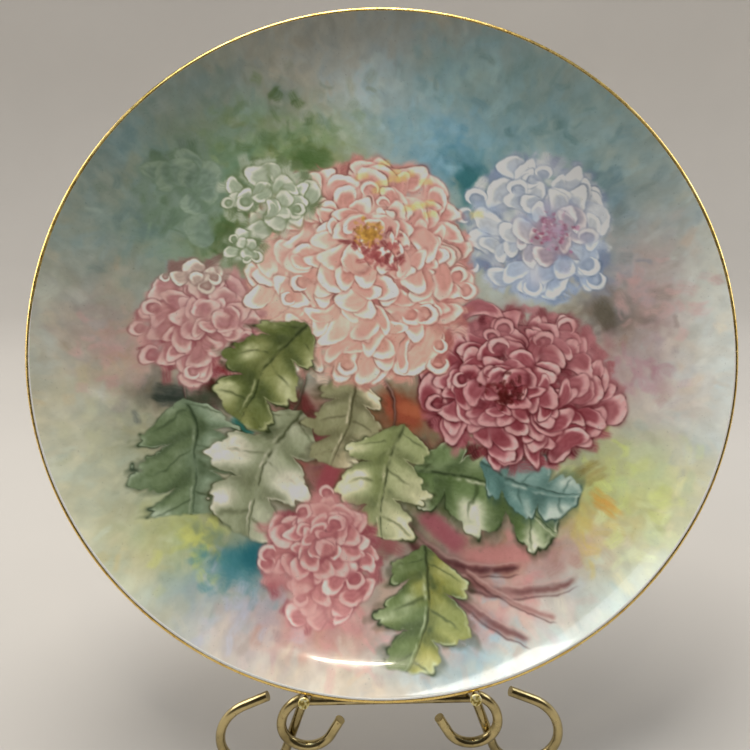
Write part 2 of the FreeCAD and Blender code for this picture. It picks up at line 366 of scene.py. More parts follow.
GHOST_LEAF_AREAS = (
    # u, v, reach, count, colour
    (-62, 90, 30, 40, "7c9063"),
    (-84, 62, 22, 30, "7d947a"),
    (-44, 98, 20, 26, "4c6636"),
    (-66, 50, 14, 40, "3f5a2c"),
    (-88, 34, 20, 26, "788c76"),
    (-14, 108, 22, 18, "8b9c8a"),
    (-114, 60, 22, 18, "6a7f7a"),
    (40, 112, 34, 40, "7fa0a4"),
    (84, 100, 32, 30, "5f7f80"),
    (24, 88, 18, 20, "86acb8"),
    (96, -70, 22, 40, "bac377"),
    (84, -88, 16, 22, "b7a45c"),
    (110, -92, 20, 24, "c3caa2"),
    (122, 12, 18, 30, "bb9a97"),
    (116, -22, 16, 26, "a58088"),
    (106, 24, 12, 14, "7d8090"),
    (-120, -8, 18, 30, "b08d88"),
    (-116, -44, 20, 20, "aaaa8c"),
    (-80, -88, 14, 24, "b3b563"),
    (-64, -104, 16, 24, "3f7079"),
    (-62, -122, 20, 20, "a3a6b4"),
    (-20, -132, 22, 26, "c08b88"),
    (40, -138, 26, 34, "8fb0bd"),
    (44, -108, 24, 26, "b9827f"),
)
GROUND_DABS = 4200


def ground(canvas):
    """The blended background: washes, then many short strokes that move their colours about."""
    canvas.colour[:] = tone(GROUND)
    for u, v, reach_u, reach_v, code in WASHES:
        wash(canvas, u, v, reach_u, reach_v, code)
    light = 0.028 * canvas.noise(24) + 0.022 * canvas.noise(60) + 0.016 * canvas.noise(130)
    warmth = 0.016 * canvas.noise(18) + 0.014 * canvas.noise(44)
    canvas.colour += np.stack((light + warmth, light, light - warmth), axis=-1)
    rng = canvas.rng
    flow = canvas.noise(7)
    for _ in range(GROUND_DABS):
        radius, turn = CANVAS_HALF * math.sqrt(rng.uniform()), rng.uniform(0.0, 2.0 * math.pi)
        u, v = radius * math.cos(turn), radius * math.sin(turn)
        column, row = np.searchsorted(canvas.places[:-1], (u, v))
        heading = 3.0 * flow[row, column] + rng.normal(0.0, 0.5)
        half = rng.uniform(2.5, 7.0)
        step = (half * math.cos(heading), half * math.sin(heading))
        from_u, from_v = np.clip(rng.normal((u, v), 6.0), -CANVAS_HALF, CANVAS_HALF - PITCH)
        picked = canvas.colour[tuple(np.searchsorted(canvas.places[:-1], (from_v, from_u)))]
        warm = rng.normal(0.0, 0.016)
        colour = np.clip(picked + rng.normal(0.0, 0.03) + (warm, 0.0, -warm), 0.0, 1.0)
        dab(canvas, (u - step[0], v - step[1]), (u + step[0], v + step[1]), rng.uniform(1.0, 3.0),
            colour, rng.uniform(0.25, 0.7))
    for u, v, reach, count, code in GHOST_LEAF_AREAS:
        for _ in range(count):
            start = rng.normal((u, v), reach * 0.5)
            heading = rng.uniform(0.0, 2.0 * math.pi)
            length = rng.uniform(5.0, 12.0)
            end = start + length * np.array((math.cos(heading), math.sin(heading)))
            shade = tone(code) + rng.normal(0.0, 0.025)
            bow = rng.uniform(-0.25, 0.25)
            dab(canvas, start, end, rng.uniform(0.8, 3.0), shade, rng.uniform(0.25, 0.6), bow)


# -------- painting: leaves and stems

LOBE_SWEEP = 0.45           # how far a lobe's end lies past its root, as a share of the leaf's spread
LEAF_WAIST = 0.36           # width between two lobes, as a share of the leaf's outline
LOBE_DEPTH = 0.6            # how far a lobe reaches beyond that, as the same share
LEAF_TEETH = 0.15           # how far the small teeth reach, as the same share
TEETH_IN_LOBE = 3.0
VEIN_WIDTH = 0.1            # half width of a lobe's vein, in the lobe's own turn


def leaf(canvas, base, tip, half_width, bow, codes, lobes=2.6):
    """A broad leaf with deep lobes swept towards its tip.

    codes are its body, its light side, the pale ends of its lobes and its dark line.
    """
    body, light, pale, dark = (tone(code) for code in codes)
    middle = np.add(base, tip) / 2.0
    reach = math.dist(base, tip) * (0.62 + abs(bow)) + 1.4 * half_width
    area, u, v = canvas.window(*middle, reach)
    along, across, length = stroke_axes(u, v, base, tip, bow)
    grain, cloudy = canvas.grain[area], canvas.cloudy[area]
    across = across + 1.6 * cloudy
    side, span = np.sign(across), np.abs(across)
    first, second = canvas.rng.uniform(0.05, 0.35, 2)
    x = np.clip(along, 0.0, 1.0)
    swept = np.clip(along - LOBE_SWEEP * span / length + 0.02 * grain, 0.0, 1.0)
    turns = math.pi * (lobes * swept ** 0.85 + np.where(side > 0, first, second) + 0.12 * cloudy)
    wave = np.abs(np.sin(turns))
    outline = half_width * np.sin(math.pi * swept ** 0.66) ** 0.5
    small_teeth = LEAF_TEETH * np.abs(np.sin(TEETH_IN_LOBE * turns)) ** 0.8
    outline = outline * (LEAF_WAIST + LOBE_DEPTH * wave ** 0.8 + small_teeth) * (1.0 + 0.2 * grain)
    inside = outline - span
    on = smooth(along / 0.03 + 0.5) * smooth((1.0 - along) / 0.03 + 0.5)
    canvas.paint(area, dark, on * smooth(1.0 + inside / 5.0) * 0.4)
    mask = on * smooth(0.5 + inside / 0.9)
    lit = smooth(0.5 + 0.3 * side + 0.8 * cloudy)
    shade = body + (light - body) * lit[..., None]
    valley = smooth((0.75 - wave) / 0.6) * smooth(span / 3.0)
    valley = valley + 0.6 * bell(across, 1.5 * np.sign(bow + 0.01), 3.0)
    deep = 0.55 * dark + 0.45 * body
    shade = shade + (deep - shade) * np.clip(0.55 * valley * (1.0 + 0.8 * grain), 0.0, 0.8)[..., None]
    glow = smooth((wave - 0.5) / 0.45) * smooth((span / half_width - 0.12) / 0.4)
    glow = glow * smooth(0.55 + 1.1 * cloudy)
    shade = shade + (pale - shade) * np.clip(glow * (0.85 + 0.5 * grain), 0.0, 0.95)[..., None]
    streaks = 0.012 * np.cos(2.2 * span + 18.0 * along + 14.0 * grain)
    shade = shade + (streaks + 0.06 * grain)[..., None]
    canvas.paint(area, np.clip(shade, 0.0, 1.0), mask)
    vein = bell(np.cos(turns), 0.0, VEIN_WIDTH) * smooth(span / 2.0)
    vein = vein * smooth((0.85 - span / half_width) / 0.4)
    canvas.paint(area, 0.7 * dark + 0.3 * body, mask * vein * smooth(0.8 + 1.2 * grain) * 0.6)
    rim = bell(inside, 1.1, 0.9) * smooth(0.2 + 1.6 * grain + 0.4 * side)
    canvas.paint(area, pale, mask * rim * 0.75)
    canvas.paint(area, dark, on * bell(inside, -0.1, 0.55) * smooth(0.35 + 1.9 * grain) * 0.9)
    rib = 0.65 * (1.25 - x)
    canvas.paint(area, dark, mask * bell(across, 0.5, rib) * smooth(0.9 + 1.2 * grain) * 0.8)
    shine = bell(across, -0.9, rib * 1.2) * smooth((x - 0.2) / 0.2) * smooth(0.5 + grain)
    canvas.paint(area, pale, mask * shine * 0.8)


# -------- painting: flowers

PETAL_NECK = 0.6            # a petal's width at the root, as a share of its widest
PETAL_CAP = 1.15            # length of its rounded end, as a share of its half width
HOLLOW_BACK = 0.45          # how far the hollow's middle lies behind the end, as a share of the half width
HOLLOW_HALF = 0.78          # half width of the hollow, as a share of the petal's


def petal(canvas, base, tip, half_width, bow, tones, crisp, lit_side):
    """A curled petal: a pale crescent round its tip and down one side, and a darker hollow inside it."""
    rim, middle_tone, hollow, root, dark = tones
    middle = np.add(base, tip) / 2.0
    reach = math.dist(base, tip) * (0.62 + abs(bow)) + 1.5 * half_width
    area, u, v = canvas.window(*middle, reach)
    along, across, length = stroke_axes(u, v, base, tip, bow)
    grain = canvas.grain[area]
    cap = min(0.5 * length, PETAL_CAP * half_width)
    belly = length - cap
    place = along * length
    neck = PETAL_NECK + (1.0 - PETAL_NECK) * smooth(place / belly)
    edge = np.hypot(np.maximum(0.0, (place - belly) / cap), across / (half_width * neck))
    start = smooth(along / 0.3)
    canvas.paint(area, root, start * np.exp(-(np.maximum(edge - 1.0, 0.0) / 0.2) ** 2) * 0.5 * crisp)
    mask = start * smooth(0.5 + (1.0 - edge) * half_width / (1.5 - 0.7 * crisp))
    hollow_place = belly - HOLLOW_BACK * half_width
    beyond = (place - hollow_place) / np.where(place > hollow_place, 0.9 * cap, 1.2 * hollow_place)
    inner = np.hypot(beyond, (across + 0.22 * lit_side * half_width) / (HOLLOW_HALF * half_width))
    shade = middle_tone + (root - middle_tone) * (0.9 - 0.9 * smooth((along - 0.05) / 0.4))[..., None]
    depth = smooth((1.15 - inner) / 0.5) * smooth((along - 0.15) / 0.35)
    shade = shade + (hollow - shade) * (0.8 * depth)[..., None]
    crescent = smooth((inner - 0.78) / 0.5) * smooth((along - 0.2) / 0.4)
    shade = shade + (rim - shade) * np.clip(crescent * (0.92 + 0.5 * grain), 0.0, 1.0)[..., None]
    shade = shade + (0.018 * np.cos(9.0 * across / half_width + 6.0 * grain))[..., None]
    canvas.paint(area, np.clip(shade, 0.0, 1.0), mask)
    line = bell(edge, 1.03, 0.05) * smooth(0.1 + 2.0 * grain + 0.3 * lit_side * np.sign(across))
    canvas.paint(area, dark, start * line * 0.7 * crisp)


def curl(canvas, centre, radius, opening, tones, crisp):
    """A petal seen end on: a pale C round a dark hollow, open towards an angle."""
    rim, _, hollow, root, dark = tones
    area, u, v = canvas.window(*centre, 1.7 * radius)
    du, dv = u - centre[0], (v - centre[1]) * 1.12
    distance = np.hypot(du, dv)
    off = np.abs(np.angle(np.exp(1j * (np.arctan2(dv, du) - opening - math.pi))))
    thick = 0.27 * radius * (1.0 - 0.75 * smooth((off - 0.7) / 1.6))
    grain = canvas.grain[area]
    inner = smooth(1.2 - distance / radius)
    canvas.paint(area, hollow, inner * 0.75)
    canvas.paint(area, root, inner * bell(distance, 0.55 * radius, 0.3 * radius) * 0.5)
    present = smooth((2.35 - off) / 0.35)
    body = np.abs(distance - 0.82 * radius) / np.maximum(thick, 0.05)
    canvas.paint(area, root, present * np.exp(-(np.maximum(body - 1.0, 0.0) / 0.6) ** 2) * 0.5 * crisp)
    canvas.paint(area, dark, present * bell(body, 1.25, 0.25) * smooth(0.5 + 1.5 * grain) * 0.6 * crisp)
    canvas.paint(area, rim + 0.06 * grain[..., None], present * smooth(1.4 - body) * 0.95)


GOLDEN_TURN = 2.39996       # radians: petals set this far round from one another never line up


def mum(canvas, eye, body, radii, petals, petal_size, codes, crisp=1.0, light=None, curls=0, tongue=0.0):
    """A chrysanthemum head, drawn from its outer petals inwards.

    eye is where the petals spring from, and body and radii are its outline's middle and half sizes. codes
    are the tones of a petal's rim, middle, hollow, root and outline. light(u, v) gives a colour and an
    amount for each petal, by its place. The lower outer petals are longer by tongue, as a share.
    """
    rng = canvas.rng
    base_tones = [tone(code) for code in codes]
    length, width = petal_size

    def petal_tones(place):
        tones = [np.clip(t + rng.normal(0.0, 0.022), 0.0, 1.0) for t in base_tones]
        tones[2] = tones[2] + (tones[1] - tones[2]) * rng.uniform(0.0, 0.6)
        tones[0] = tones[0] + (tones[1] - tones[0]) * rng.uniform(0.0, 0.35)
        if light is not None:
            colour, amount = light(*place)
            shares = (0.4 * amount, amount, amount, amount)
            tones[:4] = [t + (colour - t) * share for t, share in zip(tones, shares)]
        return tones

    for _ in range(int(radii[0] * radii[1] / 3.5)):
        turn, share = rng.uniform(0.0, 2.0 * math.pi), 0.94 * math.sqrt(rng.uniform())
        place = np.array(body) + share * np.array(radii) * (math.cos(turn), math.sin(turn))
        step = rng.normal(0.0, 3.0, 2)
        width_here = rng.uniform(1.5, 3.0)
        dab(canvas, place - step, place + step, width_here, petal_tones(place)[rng.integers(1, 4)], 0.85)
    for k in range(petals, 0, -1):
        share = math.sqrt(k / petals)
        turn = k * GOLDEN_TURN + rng.normal(0.0, 0.2)
        out = np.array((math.cos(turn) * radii[0], math.sin(turn) * radii[1]))
        ring_middle = np.array(eye) * (1.0 - share) + np.array(body) * share
        tip = ring_middle + out * share * rng.uniform(0.9, 1.04)
        inward = tip - np.array(eye)
        low = tongue * smooth(-math.sin(turn) + 0.2) * smooth((share - 0.45) / 0.3)
        reach = length * rng.uniform(0.75, 1.2) * (0.6 + 0.4 * share) * (1.0 + low)
        heading = math.atan2(inward[1], inward[0]) + rng.normal(0.0, 0.5)
        base = tip - reach * np.array((math.cos(heading), math.sin(heading)))
        bow = rng.uniform(0.1, 0.3) * rng.choice((-1.0, 1.0))
        half = 0.5 * width * rng.uniform(0.6, 1.3) * (0.7 + 0.3 * share) * (1.0 - 0.45 * low)
        petal(canvas, base, tip, half, bow, petal_tones(tip), crisp, rng.choice((-1.0, 1.0)))
    for _ in range(curls):
        turn, share = rng.uniform(0.0, 2.0 * math.pi), rng.uniform(0.3, 1.0) ** 0.6
        place = np.array(body) + share * np.array(radii) * (math.cos(turn), math.sin(turn))
        opening = turn + math.pi + rng.normal(0.0, 0.7)
        curl(canvas, place, 0.42 * width * rng.uniform(0.7, 1.15), opening, petal_tones(place), crisp)


def eye_dots(canvas, centre, reach, count, codes, size):
    """Crowded small touches of the brush where the stamens are."""
    for k in range(count):
        start = canvas.rng.normal(centre, np.array(reach) * 0.5)
        end = start + canvas.rng.normal(0.0, size, 2)
        dab(canvas, start, end, size * canvas.rng.uniform(0.3, 0.5), tone(codes[k % len(codes)]), 0.8)


def peach_light(u, v):
    """Cream petals towards the lower left of the great flower, rose ones towards the upper right."""
    place = (u + 8.0) * 0.011 + (v - 25.0) * 0.008
    if place > 0:
        return tone("b87f79"), min(0.5, 0.8 * place)
    return tone("cdb9a4"), min(0.4, -0.6 * place)


def mauve_light(u, v):
    """Mauve petals close to the white flower's eye, blue ones below it."""
    near = math.exp(-((u - 80.0) ** 2 + (v - 44.0) ** 2) / 17.0 ** 2)
    if near > 0.3:
        return tone("8a6474"), 0.7 * near
    return tone("86a0c6"), 0.4 * float(smooth((40.0 - v) / 20.0))


def rose_light(u, v):
    """The rose flower pales towards its upper right."""
    return tone("b78787"), 0.45 * float(smooth(((u - 60.0) + 1.2 * (v + 20.0)) / 45.0))


def veil(canvas, body, radii, count, codes):
    """Thin washes that run the petals of a flower together in places."""
    for k in range(count):
        turn, share = canvas.rng.uniform(0.0, 2.0 * math.pi), math.sqrt(canvas.rng.uniform())
        u, v = np.array(body) + share * np.array(radii) * (math.cos(turn), math.sin(turn))
        reach_u, reach_v = canvas.rng.uniform(2.0, 6.0, 2)
        wash(canvas, u, v, reach_u, reach_v, codes[k % len(codes)], canvas.rng.uniform(0.25, 0.6))


def flowers(canvas):
    ghost = ("84967f", "77897a", "6c816c", "647a62", "56694f")
    mum(canvas, (-92, 72), (-92, 70), (20, 22), 9, (15, 14), ghost, crisp=0.25)
    pink = ("dfc6bd", "b98f88", "9e6468", "7f4046", "512226")
    mum(canvas, (-74, 7), (-81, 4), (33, 29), 52, (17, 10.5), pink, crisp=0.7, curls=8)
    veil(canvas, (-81, 2), (30, 27), 26, ("b58d87", "c8a9a0", "a26c70"))
    cream = ("e2dacb", "c3b0a3", "a18a7e", "7f5f58", "4c362f")
    mum(canvas, (-84, 26), (-86, 29), (15, 7), 6, (10, 8), cream, crisp=0.9, curls=3)
    white = ("e8e7e0", "c0c0be", "9aa3b0", "727e96", "4a5870")
    mum(canvas, (82, 50), (74, 49), (36, 40), 52, (19, 11), white, crisp=0.8, light=mauve_light, curls=10)
    eye_dots(canvas, (81, 48), (8, 8), 80, ("8f3f58", "a8688a", "7c3048", "b08f9c"), 2.2)
    veil(canvas, (74, 50), (30, 34), 26, ("c4c6ca", "a9a5b8", "9db0cc"))
    lower = ("e2c2ba", "c08a86", "a66266", "86424a", "55262c")
    mum(canvas, (-27, -94), (-28, -100), (26, 29), 60, (13, 9), lower, crisp=0.6, curls=8)
    veil(canvas, (-28, -100), (22, 26), 18, ("bf8783", "a05f63", "d0a8a0"))
    rose = ("e0b9b4", "a4646a", "7d343c", "4f161d", "2f0b0f")
    mum(canvas, (57, -26), (62, -26), (47, 39), 115, (21, 10), rose, crisp=1.0, light=rose_light, curls=8)
    veil(canvas, (66, -22), (42, 34), 30, ("8c4248", "b07a7d", "6d2830"))
    eye_dots(canvas, (56, -29), (8, 7), 60, ("4c1614", "6b2228", "3a0d0c"), 2.4)
    peach = ("f6efdf", "d8bba9", "c48478", "9c5852", "572e28")
    mum(canvas, (-5, 46), (-9, 30), (56, 59), 140, (23, 11.5), peach, crisp=0.95, light=peach_light,
        curls=12, tongue=0.35)
    veil(canvas, (-8, 30), (46, 50), 46, ("d3b0a3", "c08a80", "dccbb8"))
    pale_green = ("dedccd", "b4b8a6", "8c9a7e", "5f6f49", "3d4a26")
    mum(canvas, (-48, 62), (-52, 67), (24, 20), 22, (14, 9), pale_green, crisp=0.9, curls=5)
    mum(canvas, (-64, 42), (-66, 42), (11, 8), 6, (9, 7), pale_green, crisp=0.9, curls=3)
    for base, tip, half_width, bow, codes in FRONT_LEAVES:
        leaf(canvas, base, tip, half_width, bow, codes)
    eye_dots(canvas, (-1, 39), (11, 9), 70, ("8e3f3f", "a3524f", "722a2a"), 2.8)
    eye_dots(canvas, (-5, 48), (5, 5.5), 120, ("a5762c", "c09040", "8a5d24", "d0a548"), 2.0)
    for _ in range(14):
        start = canvas.rng.normal((10.0, 68.0), (13.0, 9.0))
        dab(canvas, start, start + np.array((8.0, 1.0)), 1.7, tone("d3bc68"), 0.6, 0.1)


LEAVES = (
    # base, tip, half width, bow, colours
    ((-88, -29), (-84, -80), 26, 0.05, ("5d6d4c", "82937a", "a5b098", "26331f")),
    ((-37, -35), (-60, -90), 23, -0.10, ("949a7c", "bcbda6", "dcd4c2", "333820")),
    ((-14, -18), (-24, -60), 18, 0.05, ("8b8a68", "b8ad8c", "dacfb2", "35321e")),
    ((10, -64), (74, -90), 20, 0.10, ("62764a", "98a580", "d2d2ba", "1f2b16")),
    ((8, -42), (-1, -92), 20, -0.08, ("8b9464", "b6b890", "e0dab6", "2c331c")),
    ((42, -60), (86, -74), 13, -0.10, ("5f827c", "8aa49c", "b5c2b6", "2c443c")),
    ((15, -95), (7, -143), 19, 0.12, ("647448", "a8a45a", "bcc4a2", "252f1a")),
)
FRONT_LEAVES = (
    ((-35, 5), (-64, -40), 20, -0.08, ("5c6638", "888c58", "b4b68a", "242c16")),
)
STEMS = (
    # start, end, half width, bow, colour
    ((4, -80), (56, -105), 3.6, -0.17, "4c2a2c"),
    ((6, -84), (78, -110), 3.4, -0.20, "6a4441"),
    ((16, -98), (56, -132), 3.2, -0.09, "6c4745"),
    ((34, -106), (68, -124), 2.0, -0.06, "8f6862"),
    ((0, -22), (5, -44), 1.4, 0.10, "3c2a20"),
    ((-36, -14), (-42, -38), 1.4, 0.10, "2c3424"),
    ((-90, -22), (-88, -32), 1.4, 0.0, "222a20"),
)
ACCENTS = (
    # start, end, half width, colour
    ((0, -30), (18, -44), 7.0, "8c4430"),
    ((6, -34), (22, -38), 4.0, "a86044"),
    ((12, -48), (20, -60), 5.0, "4f1d18"),
    ((24, -50), (40, -58), 5.0, "5c2022"),
    ((-80, -12), (-64, -26), 5.0, "6b1517"),
    ((-78, -20), (-66, -28), 4.0, "4a1214"),
    ((-62, 0), (-56, 6), 3.0, "8c2f38"),
    ((-36, -34), (-26, -52), 7.0, "86434a"),
    ((-42, -28), (-34, -40), 5.0, "5f2a28"),
    ((-20, -58), (-26, -74), 6.0, "8f454c"),
    ((-12, -60), (-8, -80), 5.0, "874349"),
    ((-4, -92), (6, -96), 5.0, "94595a"),
    ((-66, -36), (-58, -44), 5.0, "1f6a66"),
    ((-104, -27), (-86, -29), 2.4, "2c3630"),
    ((-90, -30), (-74, -29), 2.4, "36402f"),
    ((-60, -86), (-48, -93), 5.0, "26352c"),
    ((-72, -100), (-54, -100), 7.0, "3a7178"),
    ((-60, -92), (-52, -104), 6.0, "255f68"),
    ((16, -82), (36, -100), 6.0, "9a5860"),
    ((30, -100), (66, -98), 5.0, "b07672"),
    ((20, -118), (34, -130), 6.0, "b07c7a"),
    ((14, -66), (34, -64), 5.0, "26461f"),
    ((40, -72), (54, -66), 3.0, "16301c"),
    ((90, -76), (100, -84), 2.0, "c08a3c"),
    ((84, -68), (96, -62), 2.0, "8a7a44"),
    ((40, 80), (46, 58), 6.0, "1f5a5f"),
    ((48, 34), (54, 24), 5.0, "7c5c70"),
    ((-38, 88), (-22, 82), 4.0, "3f5a24"),
    ((100, 12), (106, 0), 6.0, "5c564a"),
)


def foliage(canvas):
    for start, end, width, code in ACCENTS:
        for _ in range(6):
            jitter = canvas.rng.normal(0.0, 2.0, 2)
            shade = tone(code) + canvas.rng.normal(0.0, 0.025)
            dab(canvas, start + jitter, end + jitter, width * 0.6, np.clip(shade, 0.0, 1.0), 0.5)
    for start, end, width, bow, code in STEMS:
        line_stroke(canvas, start, end, width, code, 0.9, bow, 0.75)
        below, above = np.array((0.0, -0.8 * width)), np.array((0.0, 0.6 * width))
        line_stroke(canvas, start + below, end + below, 0.35 * width, "3f2020", 0.6, bow)
        line_stroke(canvas, start + above, end + above, 0.35 * width, "b99a92", 0.6, bow)
    for base, tip, half_width, bow, codes in LEAVES:
        leaf(canvas, base, tip, half_width, bow, codes)


def softened(values, rounds):
    """Each point evened out with its neighbours."""
    for _ in range(rounds):
        for axis in (0, 1):
            values = 0.5 * values + 0.25 * (np.roll(values, 1, axis) + np.roll(values, -1, axis))
    return values


def painting():
    """The finished painting."""
    canvas = Canvas(seed=11)
    ground(canvas)
    foliage(canvas)
    flowers(canvas)
    canvas.colour = softened(canvas.colour, 1)
    mottle = 0.012 * canvas.noise(60) + 0.008 * canvas.noise(300)
    return np.clip(canvas.colour + mottle[..., None], 0.0, 1.0), canvas.places
# -------- materials


def new_material(name):
    """An empty node material, its principled shader and a point's place in its own object."""
    material = bpy.data.materials.new(name)
    material.use_nodes = True
    return material, material.node_tree.nodes["Principled BSDF"], own_place(material)


def add(material, kind, **values):
    """A new node; a keyword names one of its properties, or one of its inputs in lower case."""
    node = material.node_tree.nodes.new(kind)
    for key, value in values.items():
        if hasattr(node, key):
            setattr(node, key, value)
        else:
            node.inputs[key.replace("_", " ").title()].default_value = value
    return node


def link(material, source, target):
    material.node_tree.links.new(source, target)


def own_place(material, scale=(1.0, 1.0, 1.0)):
    """A point's place in its own object, scaled."""
    coordinates = add(material, "ShaderNodeTexCoord")
    mapping = add(material, "ShaderNodeMapping")
    mapping.inputs["Scale"].default_value = scale
    link(material, coordinates.outputs["Object"], mapping.inputs["Vector"])
    return mapping.outputs["Vector"]


def noise(material, place, scale, detail=3.0, roughness=0.5):
    texture = add(material, "ShaderNodeTexNoise", scale=scale, detail=detail, roughness=roughness)
    link(material, place, texture.inputs["Vector"])
    return texture.outputs["Fac"]


def ramp(material, value, stops):
    """Colours or greys by value: stops are (place, colour) pairs, a colour being three numbers or one."""
    node = add(material, "ShaderNodeValToRGB")
    elements = node.color_ramp.elements
    while len(elements) < len(stops):
        elements.new(0.5)
    for element, (place, colour) in zip(elements, stops):
        element.position = place
        element.color = (*colour, 1.0) if isinstance(colour, tuple) else (colour, colour, colour, 1.0)
    link(material, value, node.inputs["Fac"])
    return node.outputs["Color"]


def mottled(material, place, cells, stops):
    """A ramp over noise; cells are the noise's scale, detail and roughness."""
    return ramp(material, noise(material, place, *cells), stops)


def blended(material, amount, first, second, mode="MIX"):
    """Two colours mixed by an amount, each a socket or a colour."""
    node = add(material, "ShaderNodeMix", data_type="RGBA", blend_type=mode)
    for socket, source in ((0, amount), (6, first), (7, second)):
        if isinstance(source, bpy.types.NodeSocket):
            link(material, source, node.inputs[socket])
        else:
            node.inputs[socket].default_value = source if socket == 0 else (*source, 1.0)
    return node.outputs[2]


def bump(material, shader, heights):
    """Bumps laid one over another: heights are (value, strength, distance in metres)."""
    normal = None
    for value, strength, distance in heights:
        node = add(material, "ShaderNodeBump", strength=strength, distance=distance)
        link(material, value, node.inputs["Height"])
        if normal is not None:
            link(material, normal, node.inputs["Normal"])
        normal = node.outputs["Normal"]
    link(material, normal, shader.inputs["Normal"])
    return normal


WHITE = (1.0, 1.0, 1.0)
GLAZE_IOR = 1.5


def painted_glaze_material():
    """Fired colours under a clear glossy glaze that ripples a little."""
    material, shader, place = new_material("painted_glaze")
    colour = add(material, "ShaderNodeVertexColor", layer_name="painting")
    specks = mottled(material, place, (900.0, 2.0), ((0.24, 0.82), (0.33, 1.0)))
    link(material, blended(material, 1.0, colour.outputs["Color"], specks, "MULTIPLY"),
         shader.inputs["Base Color"])
    sheen = mottled(material, place, (55.0, 4.0), ((0.3, 0.07), (0.7, 0.16)))
    link(material, sheen, shader.inputs["Roughness"])
    shader.inputs["IOR"].default_value = GLAZE_IOR
    shader.inputs["Coat Weight"].default_value = 0.5
    shader.inputs["Coat Roughness"].default_value = 0.04
    bump(material, shader, (
        (noise(material, place, 60.0, 2.0), 0.25, 0.0004),
        (noise(material, place, 700.0, 2.0), 0.18, 0.00006),
    ))
    return material


# The white glaze colour that the painted highlight lays over the gilding.
GLAZE_WHITE = (0.78, 0.77, 0.73)


def porcelain_material():
    """White glaze, very slightly greyed in patches, with a few pinholes."""
    material, shader, place = new_material("white_porcelain")
    body = mottled(material, place, (14.0, 5.0), ((0.3, (0.74, 0.73, 0.69)), (0.7, (0.84, 0.83, 0.79))))
    pinholes = mottled(material, place, (420.0, 1.0), ((0.2, (0.42, 0.36, 0.3)), (0.245, WHITE)))
    link(material, blended(material, 1.0, body, pinholes, "MULTIPLY"), shader.inputs["Base Color"])
    sheen = mottled(material, place, (40.0,), ((0.3, 0.08), (0.7, 0.18)))
    link(material, sheen, shader.inputs["Roughness"])
    shader.inputs["IOR"].default_value = GLAZE_IOR
    shader.inputs["Coat Weight"].default_value = 0.4
    shader.inputs["Coat Roughness"].default_value = 0.05
    bump(material, shader, ((noise(material, place, 45.0, 2.0), 0.25, 0.0005),
                            (noise(material, place, 500.0), 0.12, 0.00006)))
    return material


def bare_foot_material():
    """The unglazed foot: dry, sandy, and greyed where it has been set down."""
    material, shader, place = new_material("bare_porcelain")
    clay = mottled(material, place, (260.0, 6.0), ((0.3, (0.5, 0.46, 0.4)), (0.7, (0.72, 0.69, 0.62))))
    wear_and_painted_highlight = mottled(material, place, (30.0, 4.0), ((0.35, (0.7, 0.68, 0.64)), (0.6, WHITE)))
    link(material, blended(material, 0.8, clay, wear_and_painted_highlight, "MULTIPLY"), shader.inputs["Base Color"])
    dryness = mottled(material, place, (500.0,), ((0.3, 0.65), (0.7, 0.9)))
    link(material, dryness, shader.inputs["Roughness"])
    bump(material, shader, ((noise(material, place, 1500.0, 4.0), 0.5, 0.0001),))
    return material


def gilding_material():
    """Burnished gold, browned where it is thin, with a painted highlight of white glaze colour along the
    face's edge low on the plate.
    """
    material, shader, place = new_material("gilding")
    wear_and_painted_highlight = add(material, "ShaderNodeVertexColor", layer_name="wear_and_painted_highlight")
    gold = mottled(material, place, (90.0, 5.0, 0.65),
                   ((0.28, (0.5, 0.31, 0.07)), (0.42, (0.86, 0.6, 0.17)), (0.7, (1.0, 0.77, 0.3))))
    rubbed = mottled(material, place, (420.0, 3.0), ((0.3, (0.55, 0.42, 0.3)), (0.42, WHITE)))
    metal = blended(material, 0.7, gold, rubbed, "MULTIPLY")
    # Painted highlight: where the lip is marked, the gold turns to the white glaze colour and stops being
    # metal.
    share = ramp(material, wear_and_painted_highlight.outputs["Color"], ((0.35, 0.0), (0.6, 1.0)))
    link(material, blended(material, share, metal, GLAZE_WHITE), shader.inputs["Base Color"])
    link(material, ramp(material, share, ((0.0, 1.0), (1.0, 0.0))), shader.inputs["Metallic"])
    burnish = mottled(material, place, (300.0, 4.0), ((0.3, 0.16), (0.7, 0.38)))
    link(material, burnish, shader.inputs["Roughness"])
    bump(material, shader, ((noise(material, place, 900.0, 3.0), 0.35, 0.00008),))
    return material


def plate_height(material, place):
    """How far a place lies out in front of the rim's plane, in millimetres."""
    axes = plate_axes()
    out, middle = axes.col[2].xyz, axes.translation
    dot = add(material, "ShaderNodeVectorMath", operation="DOT_PRODUCT")
    link(material, place, dot.inputs[0])
    dot.inputs[1].default_value = out / MM
    height = add(material, "ShaderNodeMath", operation="SUBTRACT")
    link(material, dot.outputs["Value"], height.inputs[0])
    height.inputs[1].default_value = out.dot(middle) / MM
    return height.outputs["Value"]


PEG_REACH = 1.5             # how far the pegs stand out in front of the rim's plane, in millimetres
SAWN_FROM, SAWN_TO = 0.9, 0.3   # how far short of that the sawn look starts and is full
SAWN_ROUGHNESS = (0.6, 0.6, 0.6)
PEG_END_TONES = ((0.38, (0.45, 0.33, 0.08)), (0.5, (0.98, 0.86, 0.36)), (0.62, (1.0, 0.97, 0.72)))


